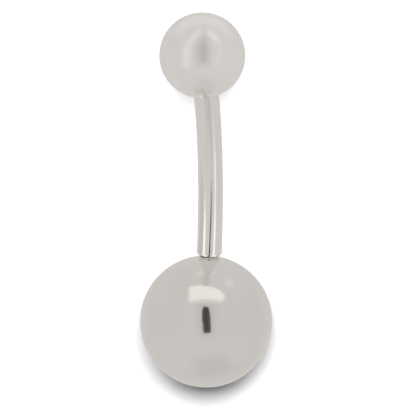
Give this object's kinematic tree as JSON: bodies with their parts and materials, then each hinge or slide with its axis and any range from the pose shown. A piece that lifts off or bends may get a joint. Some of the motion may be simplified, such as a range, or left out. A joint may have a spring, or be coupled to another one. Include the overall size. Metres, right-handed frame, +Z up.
{
  "type": "navel ring",
  "caption": "Curved barbell navel ring: a bent round bar with a small ball at one end and a larger ball at the other, lying on its balls.",
  "frame": {"origin": "on the surface that the ring lies on, below the middle of its length", "axes": "+Y along the ring towards its small ball, +Z up, away from the surface"},
  "size_m": [0.008, 0.0236, 0.008],
  "materials": {
    "bar_metal": "polished surgical steel, drawn and bent round bar",
    "upper_ball_metal": "polished surgical steel, softly buffed ball",
    "lower_ball_metal": "polished surgical steel, mirror-buffed ball"
  },
  "bodies": {
    "bar": {"curved_bar": "bar_metal", "lower_ball": "lower_ball_metal"},
    "small_ball": {"upper_ball": "upper_ball_metal"}
  },
  "joints": [
    {"name": "upper_ball_unscrews", "type": "slide", "parent": "bar", "child": "small_ball", "axis": [0, 0.9673, 0.2536], "range_m": [0, 0.0042]}
  ]
}
